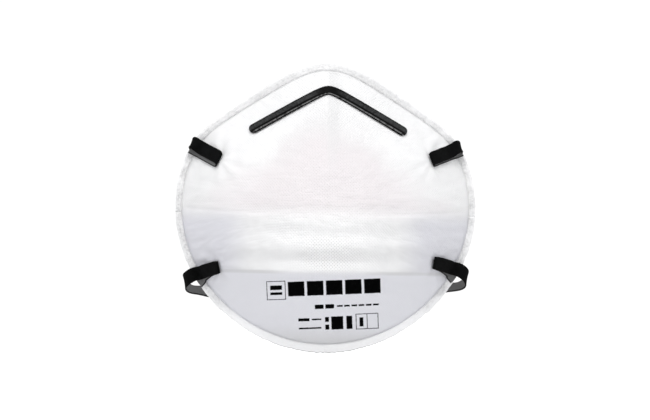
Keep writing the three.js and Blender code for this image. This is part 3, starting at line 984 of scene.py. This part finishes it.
def cover_tone(mat, spot, place):
    """White cloth, blushed below the clip. Painted shade, bluish, lies on the chin and low on the cheeks;
    painted shadow beside the nose ridge and in the chin fold; a painted highlight lies on the brow above
    it.
    """
    x, _, height = mat.parts(place)
    aside = mat.size(x)
    beside = mat.ramp(aside, 18.0, 42.0)
    clouds = mat.ramp(mat.noise(spot, 0.16, 4.0, 0.6), 0.3, 0.7)
    drift = mat.ramp(mat.noise(place, 0.06, 2.0, 0.5), 0.3, 0.7, -5.0, 5.0)
    spread = mat.plus(aside, mat.times(height, 1.2), drift)
    middle = mat.times(mat.ramp(height, -8.0, 4.0), mat.fade(spread, 34.0, 66.0))
    # Painted shadow along the right flank of the nose ridge, stronger upwards from z 12.
    ridge_flank_shadow = mat.times(mat.ramp(x, -0.6, 1.2), mat.fade(x, 3.0, 8.0))
    # Painted highlight on the upward-facing brow just above the chin fold, in the middle.
    brow_highlight = mat.fade(height, -24.0, -22.5)
    from_fold = mat.size(mat.minus(height, CHIN_FOLD_Z + 0.4))
    # Painted shade in the chin fold, towards the sides.
    fold_shade = mat.times(mat.fade(from_fold, 0.3, 1.1, 0.42), mat.ramp(aside, 14.0, 28.0))
    # Painted shade, bluish, low on the cheeks where the cup faces down and out.
    low_cheek_shade = mat.times(mat.ramp(aside, 30.0, 46.0), mat.fade(height, -8.0, 1.0))
    return mat.coats(
        mat.mix(clouds, grey(0.91), grey(0.95)),
        (mat.ramp(height, 34.0, 46.0), grey(0.935)),
        (middle, mat.mix(beside, grey(0.81), grey(0.88))),
        (mat.times(middle, mat.ramp(height, 26.0, 40.0, 1.0, 0.2)),
         mat.mix(beside, BLUSH_MIDDLE, BLUSH_SIDE)),
        (mat.times(ridge_flank_shadow, mat.ramp(height, 12.0, 34.0, 0.0, 0.55)), grey(0.76)),
        (mat.times(mat.fade(aside, 8.0, 34.0), brow_highlight), grey(1.0)),
        (low_cheek_shade, CHEEK_SHADE_BLUE),
        # painted shade, bluish, over the chin below the fold, where the cup faces down
        (mat.fade(height, -30.0, -26.5), CHIN_SHADE_BLUE),
        (fold_shade, grey(0.6)),
        # painted shade at the bottom of the chin, where it turns under
        (mat.fade(height, -60.0, -50.0, 0.7), grey(0.68)),
    )


def cover_material():
    """Spunbond cloth with its bond points, pressed deepest in a patch over the chin, and the print."""
    mat = Material("spunbond_cover", Roughness=0.82, Sheen_Roughness=0.5)
    spot, place = mat.pattern(), mat.place()
    dots = bond_dots(mat, spot, 1.05)
    matted = fibres(mat, spot)
    from_patch = mat.vector("MULTIPLY", mat.vector("SUBTRACT", place, (2, 0, -20)), (1.0, 0.0, 1.6))
    pressed = mat.ramp(mat.vector("LENGTH", from_patch, output=1), 6.0, 18.0, 0.7, 0.12)
    white = mat.mix(mat.times(dots, pressed), cover_tone(mat, spot, place), grey(0.6))
    white = mat.mix(mat.fade(matted, 0.42, 0.6, 0.1), white, grey(0.6))
    printed = ink(mat)
    soaked = mat.times(printed, mat.ramp(matted, 0.34, 0.46, 0.985, 1.0))
    shine = mat.times(mat.minus(1.0, printed), 0.45)
    dent = mat.minus(matted, mat.times(dots, 0.35))
    mat.set(Base_Color=mat.mix(soaked, white, grey(0.002)), Specular_IOR_Level=shine,
            Sheen_Weight=mat.times(shine, 0.25), Normal=mat.bump(dent, 0.00045, 0.8))
    return mat.material


def fabric_material(name, tone, warm, dot_pitch, bump_distance, dot_share=0.1):
    """A plain white nonwoven for the other layers."""
    mat = Material(name, Roughness=0.9, Sheen_Weight=0.15)
    spot = mat.pattern()
    matted = fibres(mat, spot)
    dots = bond_dots(mat, spot, dot_pitch)
    clouds = mat.ramp(mat.noise(spot, 0.2, 4.0, 0.6), 0.3, 0.7)
    white = mat.coats(
        mat.mix(clouds, grey(tone - 0.04, warm), grey(tone, warm)),
        (mat.times(dots, dot_share), grey(tone - 0.2, warm)),
        (mat.fade(matted, 0.42, 0.6, 0.12), grey(0.55, warm)),
    )
    dent = mat.minus(matted, mat.times(dots, 0.5))
    mat.set(Base_Color=white, Normal=mat.bump(dent, bump_distance))
    return mat.material


def rim_material():
    """The same fabric melted thin: greyer in the dimples, glossier, with a fibrous cut edge drawn darker
    low down. Painted light pales its top and bottom, and painted shade darkens the groove at its inner
    edge.
    """
    mat = Material("welded_edge", Roughness=0.5, Sheen_Weight=0.05)
    _, width, _ = mat.parts(mat.pattern())
    place = mat.place()
    _, _, height = mat.parts(place)
    speckle = mat.noise(place, 1.1, 4.0, 0.7)
    blotches = mat.noise(place, 0.22, 3.0, 0.6)
    cut = mat.times(mat.ramp(width, 3.6, 3.85), mat.fade(height, -44.0, -30.0, 0.75))
    tone = mat.coats(
        mat.mix(mat.ramp(speckle, 0.36, 0.62), grey(0.58), grey(0.76)),
        (mat.ramp(blotches, 0.4, 0.66, 0.0, 0.7), grey(0.92)),
        # painted light: paler towards the top
        (mat.ramp(height, 30.0, 46.0, 0.0, 0.45), grey(0.95)),
        # painted light: paler at the bottom, where the rim faces down
        (mat.fade(height, -52.0, -34.0), grey(0.99)),
        (mat.ramp(width, 2.0, 3.0, 0.0, 0.45), grey(0.95)),
        (cut, grey(0.3)),
        # painted shade in the groove along the rim's inner edge
        (mat.fade(width, 0.0, 0.55, 0.6), grey(0.4)),
    )
    uneven = mat.plus(mat.times(fibres(mat, place), 0.6), speckle)
    mat.set(Base_Color=tone, Roughness=mat.ramp(speckle, 0.35, 0.65, 0.38, 0.72),
            Normal=mat.bump(uneven, 0.00022, 0.8))
    return mat.material


def clip_material():
    """Charcoal coating, mottled on the flat. Painted shade leaves the bevels and the bend black, and a
    painted glint runs along the lower edge.
    """
    mat = Material("coated_clip", Specular_IOR_Level=0.05)
    spot = mat.pattern()
    along, across, _ = mat.parts(spot)
    peel = mat.noise(mat.place(), 2.6, 3.0, 0.55)
    scuff = mat.noise(spot, 0.9, 5.0, 0.7, 1.2)
    # Painted light: lit charcoal on the flat face away from the bend; bevels and bend get painted shade.
    flat = mat.times(mat.fade(across, 0.7, 1.2), mat.ramp(across, -0.95, -0.45),
                     mat.ramp(mat.size(along), 2.0, 8.0))
    charcoal = mat.mix(mat.ramp(scuff, 0.35, 0.65), grey(0.014, -0.02), grey(0.048, -0.02))
    # Painted glint along the lower bevel, broken by the scuff noise.
    glint = mat.times(mat.ramp(across, -1.75, -1.6), mat.fade(across, -1.45, -1.3),
                      mat.ramp(scuff, 0.38, 0.6, 0.15, 0.9))
    tone = mat.coats(grey(0.0008), (flat, charcoal), (glint, grey(0.2)))
    mat.set(Base_Color=tone, Roughness=mat.ramp(scuff, 0.3, 0.7, 0.4, 0.55),
            Normal=mat.bump(peel, 0.00005, 0.7))
    return mat.material


def elastic_material():
    """Knitted elastic: black outer face, charcoal inner face, dark selvages, fine courses."""
    mat = Material("knitted_elastic", Roughness=0.85, Sheen_Weight=0.01, Sheen_Roughness=0.4,
                   Specular_IOR_Level=0.04)
    spot = mat.pattern()
    run, across, side = mat.parts(spot)
    inner = mat.fade(side, -0.6, -0.1)
    selvage = mat.ramp(mat.size(across), 2.3, 2.75, 0.0, 0.85)
    course = mat.math("SINE", mat.times(run, 2 * math.pi / COURSE_PITCH))
    wale = mat.math("COSINE", mat.times(across, 2 * math.pi / WALE_PITCH))
    stitch = mat.times(course, mat.plus(wale, 0.4))
    fuzz = mat.noise(spot, 5.0, 3.0, 0.6)
    loose = mat.noise(spot, 0.35, 3.0, 0.6)
    black = mat.mix(mat.ramp(loose, 0.35, 0.65), grey(0.0015, -0.05), grey(0.004, -0.05))
    charcoal = mat.mix(mat.ramp(fuzz, 0.3, 0.7), grey(0.17), grey(0.24))
    tone = mat.coats(black, (inner, charcoal), (selvage, grey(0.004)),
                     (mat.fade(stitch, -0.6, 0.9, 0.35), grey(0.004)))
    knit = mat.plus(mat.times(stitch, 0.5), fuzz)
    mat.set(Base_Color=tone, Normal=mat.bump(knit, 0.00009))
    return mat.material


def foam_material():
    """Dark open-cell foam, paler between the cells."""
    mat = Material("open_cell_foam", Roughness=0.95, Sheen_Weight=0.2)
    place = mat.place()
    cells = mat.node("TexVoronoi", {"Vector": place, "Scale": 2.2}, feature="F1")
    tone = mat.mix(mat.ramp(cells, 0.1, 0.6), grey(0.03), grey(0.085))
    tone = mat.mix(mat.ramp(mat.noise(place, 0.3, 2.0), 0.35, 0.65, 0.0, 0.3), tone, grey(0.11))
    mat.set(Base_Color=tone, Normal=mat.bump(cells, 0.0002))
    return mat.material


def glue_material():
    """Yellowish hot-melt glue with a slight gloss."""
    mat = Material("hot_melt_glue", Roughness=0.35, Coat_Weight=0.2)
    place = mat.place()
    flow = mat.noise(place, 0.9, 3.0, 0.5, 1.0)
    tone = mat.mix(mat.ramp(flow, 0.3, 0.7), grey(0.6, 0.06), grey(0.72, 0.04))
    mat.set(Base_Color=tone, Normal=mat.bump(flow, 0.0001),
            Roughness=mat.ramp(flow, 0.3, 0.7, 0.3, 0.5))
    return mat.material


MATERIALS = {
    "cover": cover_material(),
    "filter": fabric_material("meltblown_filter", 0.93, -0.005, 1.6, 0.00012, 0.04),
    "support": fabric_material("needled_support", 0.86, 0.015, 2.2, 0.00035, 0.08),
    "lining": fabric_material("soft_lining", 0.9, 0.004, 1.1, 0.00022, 0.2),
    "rim": rim_material(),
    "clip": clip_material(),
    "glue": glue_material(),
    "foam": foam_material(),
    "elastic": elastic_material(),
}

# ---- pieces


def build_mask():
    """All pieces: layers from outside in, rim, nose and straps."""
    for name, node, slot, layer, counts, edge_y in (
        ("cover_moulded", "outer_cover", "cover", COVER, (520, 230), 0.45),
        ("filter_meltblown", "filter_layer", "filter", FILTER, (160, 40), 0.6),
        ("support_moulded", "support_shell", "support", SUPPORT, (160, 40), 0.75),
        ("lining_soft", "inner_lining", "lining", LINING, (320, 130), 0.9),
    ):
        cup_layer(name, node, slot, layer, counts, edge_y)
    welded_rim()
    nose_pieces()
    for level, strap in STRAPS.items():
        for side in ("left", "right"):
            strap_bond(level, side, strap[side])
    for level, strap in STRAPS.items():
        strap_band(level, strap)


build_mask()

# ---- stage, light and camera


def plain(name, colour, glow):
    """A stage material that looks brighter to the camera than the light it throws back."""
    mat = Material(name, Roughness=0.9, Specular_IOR_Level=0.1)
    seen = mat.node("LightPath", {}, output=0)
    mat.set(Base_Color=mat.mix(seen, colour, grey(0.9)),
            Emission_Color=(1, 1, 1, 1), Emission_Strength=mat.times(seen, glow))
    return mat.material


def stage():
    """A wide pale floor well below the mask."""
    drop, reach = 0.09, 12.0
    low = cad_box[0].z - drop
    mesh = bpy.data.meshes.new("studio_floor")
    corners = [(x * reach, y * reach, low) for x, y in ((-1, -1), (1, -1), (1, 1), (-1, 1))]
    mesh.from_pydata(corners, [], [(0, 1, 2, 3)])
    mesh.materials.append(plain("pale_floor", grey(0.75), 1.2))
    new_object("studio_floor", mesh)


def area_light(name, place, size, power, colour=(1, 1, 1)):
    """A soft light of a size in metres and a power in watts, aimed at the mask."""
    data = bpy.data.lights.new(name, "AREA")
    data.shape = "RECTANGLE"
    data.size, data.size_y = size
    data.energy = power
    data.color = colour
    made = new_object(name, data)
    made.location = place
    made.rotation_euler = (Vector((0, 0, 0)) - Vector(place)).to_track_quat("-Z", "Y").to_euler()
    made.visible_camera = False


def lights():
    area_light("key_above", (-0.05, -0.9, 1.3), (1.2, 0.9), 12.2, (1.0, 0.99, 0.98))
    area_light("fill_front", (0.0, -1.9, 0.25), (2.0, 1.2), 2)
    area_light("fill_back", (0.3, 1.9, 0.9), (1.6, 1.2), 4)
    for side in (-1, 1):
        area_light(f"side_{side + 1}", (side * 1.5, -0.35, 0.35), (1.0, 1.2), 1.0)


def world():
    """An even studio that looks whiter to the camera than the light it gives."""
    made = bpy.data.worlds.new("studio")
    bpy.context.scene.world = made
    made.use_nodes = True
    nodes, links = made.node_tree.nodes, made.node_tree.links
    back = nodes["Background"]
    seen = nodes.new("ShaderNodeLightPath").outputs["Is Camera Ray"]
    tone = nodes.new("ShaderNodeMix")
    tone.data_type = "RGBA"
    links.new(seen, tone.inputs[0])
    tone.inputs[6].default_value = (0.79, 0.795, 0.81, 1)
    tone.inputs[7].default_value = (1.05, 1.05, 1.05, 1)
    links.new(tone.outputs[2], back.inputs["Color"])


def camera():
    """Level with the mask, straight in front of it and far off, leaning a little."""
    distance, view_width, roll = 5.0, 0.2855, math.radians(-1.0)
    data = bpy.data.cameras.new("camera")
    data.sensor_width = 36.0
    data.lens = data.sensor_width * distance / view_width
    data.clip_end = 100
    made = new_object("camera", data)
    aim = Vector(metres([-0.13, 0, -0.88]).tolist())
    made.location = aim - Vector((0, distance, 0))
    made.rotation_euler = (math.radians(90), roll, 0)
    bpy.context.scene.camera = made


stage()
lights()
world()
camera()
bpy.context.scene.view_settings.view_transform = "Standard"
